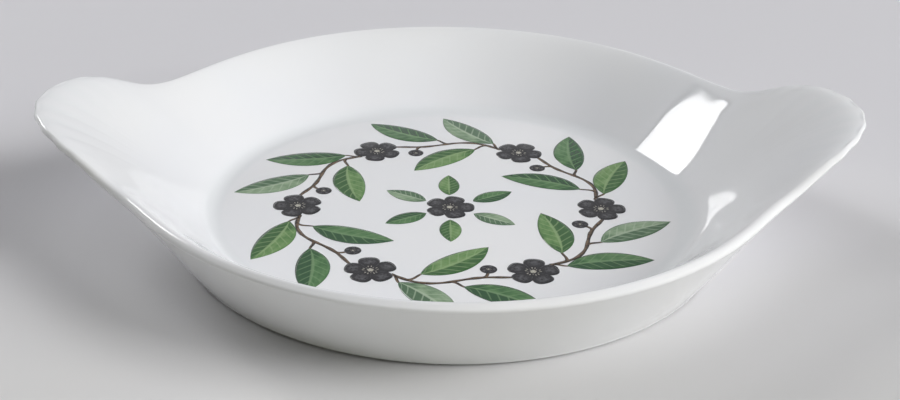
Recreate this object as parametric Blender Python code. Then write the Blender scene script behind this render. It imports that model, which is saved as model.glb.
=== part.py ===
"""Shirred egg dish: a round porcelain bowl with two scallop-shell ears and a garland printed on its floor.

Lengths are in metres and +Z is up. The origin is the centre of the foot, on the table, and the ears lie
along X. The porcelain is one body, lofted round the centre through sections that grow into the ears. Each
patch of the print is a thin wafer of its own on the floor.
"""

import math

import bmesh
import bpy

# Bowl
RIM_RADIUS = 0.0815  # to the middle of the rounded lip, away from the ears
RIM_HEIGHT = 0.0234  # top of the lip, away from the ears
LIP_THICKNESS = 0.0028
INNER_RIM_SLOPE = math.radians(32)  # of the inner wall where it rolls over into the lip
LIP_ROLL = 0.0040  # length over which it rolls over
OUTER_RIM_SLOPE = math.radians(57)  # of the outer wall just under the lip
FLOOR_RADIUS = 0.0587  # flat part of the floor
FLOOR_HEIGHT = 0.0048
COVE_RADIUS = 0.0060  # between floor and inner wall
COVE_SLOPE = math.radians(43.5)  # where the cove runs out into the wall

INNER_FULLNESS = 0.32  # how long the inner wall keeps the cove's slope, as a share of its length
OUTER_FULLNESS = 0.42  # how long the outer wall keeps its end slopes

# Foot
BASE_RADIUS = 0.0691  # lower edge of the outer wall
BASE_LIFT = 0.0005  # of that edge over the table
BASE_ROUNDING = 0.0003
BASE_SLOPE = math.radians(54)  # of the outer wall at that edge
FOOT_RADIUS = 0.0662  # of the ring that meets the table, set in under the wall
FOOT_WIDTH = 0.0036
FOOT_ROUNDING = 0.0003
FOOT_RECESS = 0.0016  # from the table up to the underside

# Ears
EAR_LENGTH = 0.2076  # over both ears
EAR_HEIGHT = 0.0334  # top of the ear's tip
EAR_EDGE = 0.0017  # thickness of the lip at the tip
EAR_WIDTH = 0.0487  # across an ear, halfway out from the rim
EAR_SLOPE = math.radians(-8)  # of the upper face at the tip, where its edge rolls over
EAR_ROLL = 0.0070  # length over which it rolls over
EAR_UNDER_SLOPE = math.radians(12)  # of the lower face at the tip
EAR_ROUNDNESS = 0.59  # how round the ear's end is, from 0, square, to 1, a long taper
EAR_SHOULDER = 6.0  # how sharply the ear's sides turn into the rim
EAR_CROWN = 0.0024  # arch of the ear's edge over a straight slope, halfway up
EAR_BLEND = 0.0057  # length over which the rim lifts into the ear

# Scallop flutes on the ears
FLUTE_COUNT = 7
FLUTE_PITCH = 0.0082  # along the edge
FLUTE_APEX = 0.0580  # where the flutes fan out from, on the ear's centre line
FLUTE_RELIEF = 0.00012  # of a flute's crest over its valleys
EDGE_SCALLOP = 0.0003  # depth of the notches in the edge
FLUTE_FADE = 0.0180  # width over which the flutes sink into the bowl wall

# Print
PRINT_THICKNESS = 0.0003
PRINT_CLEARANCE = 0.0003  # over the floor, and from patch to patch
PRINT_MARGIN = 0.0020  # bare band inside the edge of the flat floor
SPRIG_COUNT = 6
LEAF_LENGTH = 0.0220
LEAF_WIDTH = 0.0084
LEAF_BOW = 0.0016  # sideways bend of the midrib
LEAF_BASE = 0.22  # place of the lower handle of a leaf's side, as a share of its length
LEAF_SWELL = 0.68  # place of the upper handle
OUTER_LEAF_ANGLE = math.radians(33)  # from the stem, outwards
INNER_LEAF_ANGLE = math.radians(52)  # from the stem, inwards
BLOSSOM_RADIUS = 0.0064
PETAL_COUNT = 5
PETAL_NOTCH = 0.0020
OUTER_LEAF_SHARES = {"a": 0.20, "b": 0.56}  # places along a stem, from blossom to blossom
INNER_LEAF_SHARE = 0.30
BUD_SHARE = 0.75
STEM_WIDTH = 0.0011
STEM_WAVE = 0.0014
BUD_RADIUS = 0.0021
BUD_OFFSET = 0.0050  # from the middle of the stem, inwards
CENTRE_LEAF_LENGTH = 0.0120
CENTRE_LEAF_WIDTH = 0.0056

# Facets
FAN_STEPS = 52  # sections across one ear's flutes
SHOULDER_STEPS = 9  # sections from the flutes to the bowl's side
SHOULDER_REACH = 2.2  # end of those sections, as a multiple of the ear's half angle
BOWL_STEPS = 20  # sections along one side of the bowl
INNER_STEPS = 8
OUTER_STEPS = 6
COVE_STEPS = 4
LIP_STEPS = 6
LEAF_STEPS = 9
PETAL_STEPS = 9
STEM_STEPS = 10
BUD_STEPS = 20

LIP_HALF = LIP_THICKNESS / 2
EAR_EDGE_HALF = EAR_EDGE / 2
EAR_REACH = EAR_LENGTH / 2 - EAR_EDGE_HALF - RIM_RADIUS
EAR_RISE = (EAR_HEIGHT - EAR_EDGE_HALF) - (RIM_HEIGHT - LIP_HALF)
EAR_HALF_ANGLE = math.asin(EAR_WIDTH / 2 / (RIM_RADIUS + EAR_REACH / 2))
FAN_ANGLE = math.atan2((FLUTE_COUNT + 1) * FLUTE_PITCH / 2, RIM_RADIUS + EAR_REACH / 2)
SHOULDER_ANGLE = SHOULDER_REACH * EAR_HALF_ANGLE
PRINT_BASE = FLOOR_HEIGHT + PRINT_CLEARANCE


def clear_scene():
    """Empties the scene that the script starts in."""
    for obj in list(bpy.data.objects):
        bpy.data.objects.remove(obj, do_unlink=True)


def new_collection(name):
    """Makes a collection in the scene."""
    collection = bpy.data.collections.new(name)
    bpy.context.scene.collection.children.link(collection)
    return collection


def new_material(name, colour, roughness):
    """Makes a Principled material of one colour."""
    material = bpy.data.materials.new(name)
    material.use_nodes = True
    shader = material.node_tree.nodes["Principled BSDF"]
    shader.inputs["Base Color"].default_value = (*colour, 1.0)
    shader.inputs["Roughness"].default_value = roughness
    shader.inputs["Metallic"].default_value = 0.0
    return material


def smoothstep(value):
    """Eases from 0 to 1 while value goes from 0 to 1."""
    t = min(max(value, 0.0), 1.0)
    return t * t * (3 - 2 * t)


def bezier(start, start_handle, end_handle, end, steps):
    """Points along a cubic curve in (radius, height), both ends included."""
    points = []
    for i in range(steps + 1):
        t = i / steps
        weights = ((1 - t) ** 3, 3 * t * (1 - t) ** 2, 3 * t * t * (1 - t), t**3)
        corners = (start, start_handle, end_handle, end)
        points.append(tuple(sum(w * c[k] for w, c in zip(weights, corners)) for k in (0, 1)))
    return points


def along(point, slope, distance):
    """The point this far from another, on a line of this slope."""
    return point[0] + distance * math.cos(slope), point[1] + distance * math.sin(slope)


def angle_off_ear(angle):
    """Signed angle from the nearer ear's centre line."""
    return (angle + math.pi / 2) % math.pi - math.pi / 2


def ear_share(angle):
    """How far the rim has grown into an ear: 1 at its tip, falling to 0 along the bowl's sides."""
    t = abs(angle_off_ear(angle)) / EAR_HALF_ANGLE
    return 1 / (1 + EAR_ROUNDNESS * t**2 + (1 - EAR_ROUNDNESS) * t**EAR_SHOULDER)


def ear_lift(x):
    """Height of the lip's middle over that of the bowl's own rim, at this distance out along the ear."""
    out = (x - RIM_RADIUS) / EAR_REACH
    soft = EAR_BLEND / EAR_REACH
    ramp = (out + math.hypot(out, soft)) / (1 + math.hypot(1, soft))
    return EAR_RISE * ramp + 4 * EAR_CROWN * ramp * (1 - ramp)


def flute_wave(x, y):
    """Profile of the flutes at a place on an ear: 1 on a crest, 0 in a valley and beside the fan."""
    pitch = FLUTE_PITCH / (EAR_LENGTH / 2 - FLUTE_APEX)
    place = math.atan2(y, x - FLUTE_APEX) / pitch
    beside = (abs(place) - FLUTE_COUNT / 2) * 2
    return math.cos(math.pi * place) ** 2 * (1 - smoothstep(beside))


def lip_centre(angle):
    """Radius and height of the middle of the lip, without the notches in the ear's edge."""
    radius = RIM_RADIUS + EAR_REACH * ear_share(angle)
    return radius, RIM_HEIGHT - LIP_HALF + ear_lift(radius * math.cos(angle_off_ear(angle)))


def fluted(profile, angle):
    """Raises the flutes on the part of an inner profile that lies on an ear."""
    off = angle_off_ear(angle)
    raised = []
    for radius, height in profile:
        x = radius * math.cos(off)
        fade = smoothstep((x - RIM_RADIUS) / FLUTE_FADE)
        crest = flute_wave(x, radius * math.sin(off))
        raised.append((radius, height + FLUTE_RELIEF * (crest - 1) * fade))
    return raised


def notched(profile, angle):
    """Draws in the points of a profile near the ear's edge, which makes the notches between flutes."""
    share = ear_share(angle)
    off = angle_off_ear(angle)
    edge = RIM_RADIUS + EAR_REACH * share
    crest = flute_wave(edge * math.cos(off), edge * math.sin(off))
    depth = EDGE_SCALLOP * (1 - crest) * smoothstep(2 * share)
    return [(r - depth * smoothstep(1 + (r - edge) / EAR_ROLL), z) for r, z in profile]


def section(angle):
    """The wall's section: from the floor's edge up the inside, over the lip and down to the underside."""
    share = ear_share(angle)
    inner_slope = INNER_RIM_SLOPE + (EAR_SLOPE - INNER_RIM_SLOPE) * share
    outer_slope = OUTER_RIM_SLOPE + (EAR_UNDER_SLOPE - OUTER_RIM_SLOPE) * share
    lip = lip_centre(angle)
    half = LIP_HALF + (EAR_EDGE_HALF - LIP_HALF) * share
    over_lip = inner_slope + math.pi / 2
    under_lip = outer_slope - math.pi / 2
    inner_lip = along(lip, over_lip, half)
    outer_lip = along(lip, under_lip, half)

    cove_centre = (FLOOR_RADIUS, FLOOR_HEIGHT + COVE_RADIUS)
    turns = [COVE_SLOPE * i / COVE_STEPS for i in range(COVE_STEPS + 1)]
    cove = [along(cove_centre, turn - math.pi / 2, COVE_RADIUS) for turn in turns]
    reach = math.dist(cove[-1], inner_lip) * INNER_FULLNESS
    roll = LIP_ROLL + (EAR_ROLL - LIP_ROLL) * share
    handles = along(cove[-1], COVE_SLOPE, reach), along(inner_lip, inner_slope, -roll)
    inner = bezier(cove[-1], *handles, inner_lip, INNER_STEPS)

    turns = [over_lip + (under_lip - over_lip) * i / LIP_STEPS for i in range(1, LIP_STEPS)]
    edge = [along(lip, turn, half) for turn in turns]

    base_edge = (BASE_RADIUS, BASE_LIFT + BASE_ROUNDING)
    reach = math.dist(base_edge, outer_lip) * OUTER_FULLNESS
    handles = along(outer_lip, outer_slope, -reach), along(base_edge, BASE_SLOPE, reach)
    outer = bezier(outer_lip, *handles, base_edge, OUTER_STEPS)

    ring = FOOT_RADIUS - FOOT_WIDTH
    foot = [
        (BASE_RADIUS - BASE_ROUNDING, BASE_LIFT),
        (FOOT_RADIUS, BASE_LIFT),
        (FOOT_RADIUS, FOOT_ROUNDING),
        (FOOT_RADIUS - FOOT_ROUNDING, 0.0),
        (ring + FOOT_ROUNDING, 0.0),
        (ring, FOOT_ROUNDING),
        (ring - (FOOT_RECESS - FOOT_ROUNDING), FOOT_RECESS),
    ]
    return cove + notched(fluted(inner[1:], angle) + edge + outer, angle) + foot


def section_angles():
    """Angles of the sections all round: close together on the flutes, wider apart along the bowl's sides."""
    half_turn = (
        (-FAN_ANGLE, FAN_ANGLE, FAN_STEPS),
        (FAN_ANGLE, SHOULDER_ANGLE, SHOULDER_STEPS),
        (SHOULDER_ANGLE, math.pi - SHOULDER_ANGLE, BOWL_STEPS),
        (math.pi - SHOULDER_ANGLE, math.pi - FAN_ANGLE, SHOULDER_STEPS),
    )
    angles = []
    for ear in (0.0, math.pi):
        for first, last, steps in half_turn:
            angles += [ear + first + (last - first) * i / steps for i in range(steps)]
    return angles


def porcelain_dish(collection, material):
    """The whole porcelain body: a loft through the sections, closed by the flat floor and underside."""
    shape = bmesh.new()
    rows = []
    for angle in section_angles():
        places = [(r * math.cos(angle), r * math.sin(angle), z) for r, z in section(angle)]
        rows.append([shape.verts.new(place) for place in places])
    for row, next_row in zip(rows, rows[1:] + rows[:1]):
        for i in range(len(row) - 1):
            shape.faces.new((row[i], next_row[i], next_row[i + 1], row[i + 1]))
    shape.faces.new([row[0] for row in rows])
    shape.faces.new([row[-1] for row in reversed(rows)])
    bmesh.ops.recalc_face_normals(shape, faces=shape.faces)
    mesh = bpy.data.meshes.new("porcelain_dish")
    shape.to_mesh(mesh)
    shape.free()
    mesh.shade_smooth()
    mesh.set_sharp_from_angle(angle=math.radians(40))
    mesh.materials.append(material)
    dish = bpy.data.objects.new("porcelain_dish", mesh)
    collection.objects.link(dish)
    return dish


def print_outline(name, material):
    """An empty filled outline of the print's thickness."""
    outline = bpy.data.curves.new(name, "CURVE")
    outline.dimensions = "2D"
    outline.fill_mode = "BOTH"
    outline.extrude = PRINT_THICKNESS / 2
    outline.materials.append(material)
    return outline


def add_polygon(outline, points):
    """Adds a closed outline through these points."""
    spline = outline.splines.new("POLY")
    spline.points.add(len(points) - 1)
    for point, (x, y) in zip(spline.points, points):
        point.co = (x, y, 0.0, 1.0)
    spline.use_cyclic_u = True


def leaf_outline(name, length, width, bow, material):
    """A pointed leaf along +X from its stalk, bowed to one side."""
    outline = print_outline(name, material)
    outline.resolution_u = LEAF_STEPS
    spline = outline.splines.new("BEZIER")
    spline.bezier_points.add(1)
    half = width * 2 / 3  # a cubic side bulges to three quarters of its handles
    stalk, tip = spline.bezier_points
    stalk.co = (0.0, 0.0, 0.0)
    stalk.handle_right = (LEAF_BASE * length, half + bow, 0.0)
    stalk.handle_left = (LEAF_BASE * length, bow - half, 0.0)
    tip.co = (length, 0.0, 0.0)
    tip.handle_left = (LEAF_SWELL * length, half + bow, 0.0)
    tip.handle_right = (LEAF_SWELL * length, bow - half, 0.0)
    spline.use_cyclic_u = True
    return outline


def blossom_outline(material):
    """A round blossom with notches between its petals."""
    count = PETAL_COUNT * PETAL_STEPS
    points = []
    for i in range(count):
        turn = 2 * math.pi * i / count
        notch = 1 - abs(math.cos(PETAL_COUNT * turn / 2))
        radius = BLOSSOM_RADIUS - PETAL_NOTCH * notch**2
        points.append((radius * math.cos(turn), radius * math.sin(turn)))
    outline = print_outline("blossom", material)
    add_polygon(outline, points)
    return outline


def bud_outline(material):
    """A round bud."""
    turns = [2 * math.pi * i / BUD_STEPS for i in range(BUD_STEPS)]
    outline = print_outline("bud", material)
    add_polygon(outline, [(BUD_RADIUS * math.cos(turn), BUD_RADIUS * math.sin(turn)) for turn in turns])
    return outline


def garland_radius():
    """Radius of the ring of sprigs, which puts the outer leaves' tips just inside the edge of the floor."""
    tip_out = LEAF_LENGTH * math.sin(OUTER_LEAF_ANGLE) + leaf_offset()
    tip_ahead = LEAF_LENGTH * math.cos(OUTER_LEAF_ANGLE)
    return math.sqrt((FLOOR_RADIUS - PRINT_MARGIN) ** 2 - tip_ahead**2) - tip_out


def leaf_offset():
    """Distance of a leaf's stalk from the middle of the stem."""
    return STEM_WIDTH / 2 + STEM_WAVE + 2 * PRINT_CLEARANCE


def stem_outline(material):
    """A wavy stem between two blossoms, drawn round the floor's centre from angle 0."""
    ring = garland_radius()
    gap = (BLOSSOM_RADIUS + 2 * PRINT_CLEARANCE) / ring
    sweep = 2 * math.pi / SPRIG_COUNT - 2 * gap
    edges = ([], [])
    for i in range(STEM_STEPS + 1):
        share = i / STEM_STEPS
        turn = gap + sweep * share
        middle = ring + STEM_WAVE * math.sin(2 * math.pi * share)
        for edge, side in zip(edges, (1, -1)):
            radius = middle + side * STEM_WIDTH / 2
            edge.append((radius * math.cos(turn), radius * math.sin(turn)))
    outline = print_outline("stem", material)
    add_polygon(outline, edges[0] + edges[1][::-1])
    return outline


def place_print(collection, name, outline, radius, angle, turn):
    """Lays one patch of the print on the floor, at a radius and angle, turned about its own origin."""
    patch = bpy.data.objects.new(name, outline)
    patch.location = (radius * math.cos(angle), radius * math.sin(angle), PRINT_BASE + PRINT_THICKNESS / 2)
    patch.rotation_euler = (0.0, 0.0, turn)
    collection.objects.link(patch)
    return patch


def garland(collection, green, dark, brown):
    """The ring of sprigs: blossoms joined by stems, with leaves outside and inside each stem."""
    ring = garland_radius()
    pitch = 2 * math.pi / SPRIG_COUNT
    blossom = blossom_outline(dark)
    bud = bud_outline(dark)
    stem = stem_outline(brown)
    outer_leaf = leaf_outline("outer_leaf", LEAF_LENGTH, LEAF_WIDTH, LEAF_BOW, green)
    inner_leaf = leaf_outline("inner_leaf", LEAF_LENGTH, LEAF_WIDTH, -LEAF_BOW, green)
    for sprig in range(SPRIG_COUNT):
        start = sprig * pitch
        number = sprig + 1
        place_print(collection, f"blossom_{number}", blossom, ring, start, start)
        place_print(collection, f"stem_{number}", stem, 0.0, 0.0, start)
        offset = leaf_offset()
        for letter, share in OUTER_LEAF_SHARES.items():
            angle = start + share * pitch
            turn = angle + math.pi / 2 - OUTER_LEAF_ANGLE
            place_print(collection, f"outer_leaf_{number}_{letter}", outer_leaf, ring + offset, angle, turn)
        angle = start + INNER_LEAF_SHARE * pitch
        turn = angle + math.pi / 2 + INNER_LEAF_ANGLE
        place_print(collection, f"inner_leaf_{number}", inner_leaf, ring - offset, angle, turn)
        place_print(collection, f"bud_{number}", bud, ring - BUD_OFFSET, start + BUD_SHARE * pitch, 0.0)


def centre_rosette(collection, green, dark):
    """A blossom in the middle of the floor, with short leaves round it."""
    place_print(collection, "centre_blossom", blossom_outline(dark), 0.0, 0.0, 0.0)
    leaf = leaf_outline("centre_leaf", CENTRE_LEAF_LENGTH, CENTRE_LEAF_WIDTH, 0.0, green)
    for i in range(SPRIG_COUNT):
        angle = 2 * math.pi * (i + 0.5) / SPRIG_COUNT
        stalk = BLOSSOM_RADIUS + 2 * PRINT_CLEARANCE
        place_print(collection, f"centre_leaf_{i + 1}", leaf, stalk, angle, angle)


def main():
    """Builds the dish and its print."""
    clear_scene()
    collection = new_collection("shirred_egg_dish")
    porcelain = new_material("glazed_porcelain", (0.87, 0.88, 0.89), 0.08)
    green = new_material("leaf_green", (0.12, 0.25, 0.10), 0.2)
    dark = new_material("blossom_dark", (0.03, 0.03, 0.04), 0.2)
    brown = new_material("stem_brown", (0.10, 0.06, 0.03), 0.2)
    porcelain_dish(collection, porcelain)
    garland(collection, green, dark, brown)
    centre_rosette(collection, green, dark)


main()
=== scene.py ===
"""Dresses the shirred egg dish: white porcelain with scallop-shell ears and a garland on its floor.

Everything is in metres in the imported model's frame: +Z is up, the ears lie along X, and the origin is the
centre of the foot, on the table. The porcelain is lofted again through finer sections than the solid has, and
each patch of the print is laid on the floor as a film of ink.
"""

from __future__ import annotations

import logging
import math
from collections.abc import Mapping, Sequence
from dataclasses import dataclass, field
from enum import Enum

import bmesh
import bpy
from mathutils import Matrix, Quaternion, Vector

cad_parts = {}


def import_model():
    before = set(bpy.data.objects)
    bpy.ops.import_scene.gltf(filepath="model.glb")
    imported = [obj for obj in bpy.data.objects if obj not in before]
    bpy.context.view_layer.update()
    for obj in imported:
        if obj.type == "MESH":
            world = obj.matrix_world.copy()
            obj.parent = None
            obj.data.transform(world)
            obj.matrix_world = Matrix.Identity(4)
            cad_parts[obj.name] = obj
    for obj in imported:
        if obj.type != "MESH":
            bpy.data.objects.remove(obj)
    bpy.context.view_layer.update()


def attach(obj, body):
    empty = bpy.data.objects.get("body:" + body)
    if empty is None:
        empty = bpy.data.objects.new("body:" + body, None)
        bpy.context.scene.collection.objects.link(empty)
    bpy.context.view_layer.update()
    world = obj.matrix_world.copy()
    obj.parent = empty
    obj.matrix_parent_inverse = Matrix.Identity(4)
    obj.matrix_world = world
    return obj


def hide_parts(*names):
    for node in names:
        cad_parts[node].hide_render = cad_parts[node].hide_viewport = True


LOG = logging.getLogger("shirred_egg_dish")
BODY = "root"
INK_IOR = 1.5
CUBIC_BULGE = 0.75  # how far a cubic curve bulges, as a share of its handles' height

Colour = tuple[float, float, float]
Point = tuple[float, float]
Place = tuple[float, float, float]
Span = tuple[float, float]
Marked = tuple[float, float, float, float]


class Slot(Enum):
    """The record's material slots."""

    PORCELAIN = "porcelain"
    LEAF = "leaf_ink"
    BLOSSOM = "blossom_ink"
    STEM = "stem_ink"


class Mark(Enum):
    """Numbers that the meshes carry at each vertex for their finishes."""

    ALONG = "along"
    ACROSS = "across"
    TONE = "tone"
    CREST = "crest"


class Level(Enum):
    """The order in which the inks are laid, from the floor up."""

    STEM = 1
    LEAF = 2
    BLOSSOM = 3


def smoothstep(value: float) -> float:
    """Eases from 0 to 1 while value goes from 0 to 1."""
    t = min(max(value, 0.0), 1.0)
    return t * t * (3 - 2 * t)


def blend(first: float, last: float, share: float) -> float:
    """The number at this share of the way from first to last."""
    return first + (last - first) * share


def spaced(first: float, last: float, steps: int) -> list[float]:
    """Evenly spaced numbers from first to last, both included."""
    return [blend(first, last, i / steps) for i in range(steps + 1)]


def polar(radius: float, angle: float) -> Point:
    """The point at this radius and angle."""
    return radius * math.cos(angle), radius * math.sin(angle)


def turned(point: Point, angle: float) -> Point:
    """The point after a turn about the origin."""
    return polar(math.hypot(*point), math.atan2(point[1], point[0]) + angle)


def along(point: Point, slope: float, distance: float) -> Point:
    """The point this far from another, on a line of this slope."""
    step = polar(distance, slope)
    return point[0] + step[0], point[1] + step[1]


def spherical(distance: float, azimuth: float, elevation: float) -> Place:
    """The place this far from the origin, in this direction."""
    out, up = polar(distance, elevation)
    return (*polar(out, azimuth), up)


def bezier(corners: Sequence[Point], steps: int) -> list[Point]:
    """Points along a cubic curve.

    Args:
        corners: Its start, two handles and end.
        steps: How many pieces it is cut into.

    Returns:
        The points, both ends included.
    """
    points = []
    for t in spaced(0.0, 1.0, steps):
        weights = ((1 - t) ** 3, 3 * t * (1 - t) ** 2, 3 * t * t * (1 - t), t**3)
        x, y = (sum(w * corner[k] for w, corner in zip(weights, corners)) for k in (0, 1))
        points.append((x, y))
    return points


class Value:
    """A number that varies over a surface: a shader socket on which arithmetic adds Math nodes."""

    def __init__(self, board: NodeBoard, socket: bpy.types.NodeSocket) -> None:
        """Wraps one output socket of a board."""
        self.board = board
        self.socket = socket

    def __add__(self, other: Value | float) -> Value:
        """Adds."""
        return self.board.math("ADD", self, other)

    __radd__ = __add__

    def __sub__(self, other: Value | float) -> Value:
        """Subtracts other."""
        return self.board.math("SUBTRACT", self, other)

    def __rsub__(self, other: float) -> Value:
        """Subtracts from other."""
        return self.board.math("SUBTRACT", other, self)

    def __mul__(self, other: Value | float) -> Value:
        """Multiplies."""
        return self.board.math("MULTIPLY", self, other)

    __rmul__ = __mul__

    def __pow__(self, power: float) -> Value:
        """Raises to a power."""
        return self.board.math("POWER", self, power)

    def __abs__(self) -> Value:
        """Drops the sign."""
        return self.board.math("ABSOLUTE", self)

    def rising(self, low: float, high: float) -> Value:
        """A mask that eases from 0 at low to 1 at high.

        Args:
            low: Where the mask leaves 0.
            high: Where it reaches 1.

        Returns:
            The mask.
        """
        node = self.board.node(
            "ShaderNodeMapRange",
            {"interpolation_type": "SMOOTHSTEP"},
            {"Value": self, "From Min": low, "From Max": high},
        )
        return Value(self.board, node.outputs[0])

    def falling(self, low: float, high: float) -> Value:
        """A mask that eases from 1 at low to 0 at high."""
        return 1 - self.rising(low, high)


class NodeBoard:
    """A node tree under construction."""

    def __init__(self, tree: bpy.types.NodeTree) -> None:
        """Takes over a tree and empties it."""
        self.tree = tree
        tree.nodes.clear()

    def node(
        self,
        kind: str,
        settings: Mapping[str, object] | None = None,
        inputs: Mapping[str | int, object] | None = None,
    ) -> bpy.types.Node:
        """Adds a node.

        Args:
            kind: The node's type.
            settings: Its own properties, which are set first.
            inputs: Numbers, colours, sockets or values for its sockets, by name or place.

        Returns:
            The new node.
        """
        node = self.tree.nodes.new(kind)
        for name, setting in (settings or {}).items():
            setattr(node, name, setting)
        for key, given in (inputs or {}).items():
            socket = node.inputs[key]
            source = given.socket if isinstance(given, Value) else given
            if isinstance(source, bpy.types.NodeSocket):
                self.tree.links.new(source, socket)
            elif isinstance(source, tuple) and len(source) < len(socket.default_value):
                socket.default_value = (*source, 1.0)
            else:
                socket.default_value = source
        return node

    def math(self, operation: str, *terms: Value | float) -> Value:
        """Adds a Math node on these terms."""
        node = self.node("ShaderNodeMath", {"operation": operation}, dict(enumerate(terms)))
        return Value(self, node.outputs[0])

    def mix(self, share: Value | float, first: object, last: object) -> bpy.types.NodeSocket:
        """Mixes two colours.

        Args:
            share: How much of the last colour shows.
            first: The colour where the share is 0.
            last: The colour where the share is 1.

        Returns:
            The mixed colour's socket.
        """
        node = self.node("ShaderNodeMix", {"data_type": "RGBA"}, {0: share, 6: first, 7: last})
        return node.outputs[2]

    def place(self) -> bpy.types.NodeSocket:
        """The place on the piece, in its own metres."""
        return self.node("ShaderNodeTexCoord").outputs["Object"]

    def axes(self, place: bpy.types.NodeSocket) -> tuple[Value, Value, Value]:
        """Takes a place apart.

        Args:
            place: The place's socket.

        Returns:
            Its three numbers.
        """
        node = self.node("ShaderNodeSeparateXYZ", {}, {0: place})
        x, y, z = (Value(self, socket) for socket in node.outputs)
        return x, y, z

    def stretched(self, place: bpy.types.NodeSocket, by: Place) -> bpy.types.NodeSocket:
        """A place with each of its numbers multiplied."""
        node = self.node("ShaderNodeVectorMath", {"operation": "MULTIPLY"}, {0: place, 1: by})
        return node.outputs[0]

    def mark(self, mark: Mark) -> Value:
        """One of the numbers that the mesh carries."""
        node = self.node("ShaderNodeAttribute", {"attribute_name": mark.value})
        return Value(self, node.outputs["Fac"])

    def noise(self, place: bpy.types.NodeSocket, size: float, detail: float = 2.0) -> Value:
        """Soft noise from 0 to 1.

        Args:
            place: Where on the surface.
            size: Width of a patch, in the units of place.
            detail: How much finer noise is laid over it.

        Returns:
            The noise.
        """
        inputs = {"Vector": place, "Scale": 1 / size, "Detail": detail}
        return Value(self, self.node("ShaderNodeTexNoise", {}, inputs).outputs[0])

    def bump(self, height: Value, depth: float) -> bpy.types.NodeSocket:
        """A normal that follows a height, of this depth in metres."""
        return self.node("ShaderNodeBump", {}, {"Height": height, "Distance": depth}).outputs[0]

    def surface(self, inputs: Mapping[str, object]) -> None:
        """Ends the tree in a Principled surface with these inputs."""
        shader = self.node("ShaderNodeBsdfPrincipled", {}, inputs)
        self.node("ShaderNodeOutputMaterial", {}, {"Surface": shader.outputs[0]})


def new_board(name: str) -> tuple[bpy.types.Material, NodeBoard]:
    """Starts a material.

    Args:
        name: The material's name.

    Returns:
        The material and the empty board of its nodes.
    """
    material = bpy.data.materials.new(name)
    material.use_nodes = True
    return material, NodeBoard(material.node_tree)


@dataclass(frozen=True)
class PorcelainGlaze:
    """Clear glaze over white porcelain, bare on the ring that the dish stands on."""

    cool: Colour = (0.838, 0.848, 0.874)
    warm: Colour = (0.858, 0.862, 0.876)
    pooled: Colour = (0.800, 0.830, 0.845)
    bare: Colour = (0.720, 0.690, 0.640)
    cloud_size: float = 0.045
    cloud_limits: Span = (0.3, 0.7)
    cove_start: Span = (0.0575, 0.0595)
    cove_end: Span = (0.0615, 0.0645)
    cove_height: Span = (0.0040, 0.0046)
    cove_pooling: float = 0.5
    valley_pooling: float = 0.3
    peel_size: float = 0.012
    peel_depth: float = 0.000012
    gloss: float = 0.045
    wipe_stretch: Place = (1.0, 6.0, 1.0)
    wipe_limits: Span = (0.35, 0.80)
    wipe_dulling: float = 0.02
    ior: float = 1.52
    bare_roughness: float = 0.62
    bare_height: float = 0.0004
    grit_size: float = 0.0004
    grit_paleness: float = 0.5
    grit_height: float = 0.8

    def material(self) -> bpy.types.Material:
        """Makes the glaze's material.

        Returns:
            The material.
        """
        material, board = new_board("porcelain_glaze")
        place = board.place()
        x, y, z = board.axes(place)
        radius = (x * x + y * y) ** 0.5

        clouds = board.noise(place, self.cloud_size).rising(*self.cloud_limits)
        crest = board.mark(Mark.CREST)
        colour = board.mix(clouds, self.cool, self.warm)
        in_cove = radius.rising(*self.cove_start) * radius.falling(*self.cove_end)
        pooling = in_cove * z.rising(*self.cove_height) * self.cove_pooling
        colour = board.mix(pooling, colour, self.pooled)
        colour = board.mix((1 - crest) * self.valley_pooling, colour, self.pooled)

        grit = board.noise(place, self.grit_size)
        bare = z.falling(self.bare_height / 2, self.bare_height)
        stone = board.mix(grit * self.grit_paleness, self.bare, self.warm)
        colour = board.mix(bare, colour, stone)

        wiped = board.noise(board.stretched(place, self.wipe_stretch), self.cloud_size)
        gloss = self.gloss + wiped.rising(*self.wipe_limits) * self.wipe_dulling
        roughness = gloss + bare * (self.bare_roughness - self.gloss)
        peel = board.noise(place, self.peel_size, detail=1.0) + bare * grit * self.grit_height
        board.surface(
            {
                "Base Color": colour,
                "Roughness": roughness,
                "Normal": board.bump(peel, self.peel_depth),
                "IOR": self.ior,
            }
        )
        return material


class LeafShade(Enum):
    """The greens of the leaves, each with its dark, middle and light tones."""

    DEEP = ((0.020, 0.080, 0.028), (0.055, 0.160, 0.050), (0.170, 0.300, 0.140))
    FRESH = ((0.035, 0.115, 0.030), (0.110, 0.240, 0.070), (0.270, 0.400, 0.180))
    SAGE = ((0.070, 0.145, 0.075), (0.200, 0.310, 0.180), (0.400, 0.500, 0.360))


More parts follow.
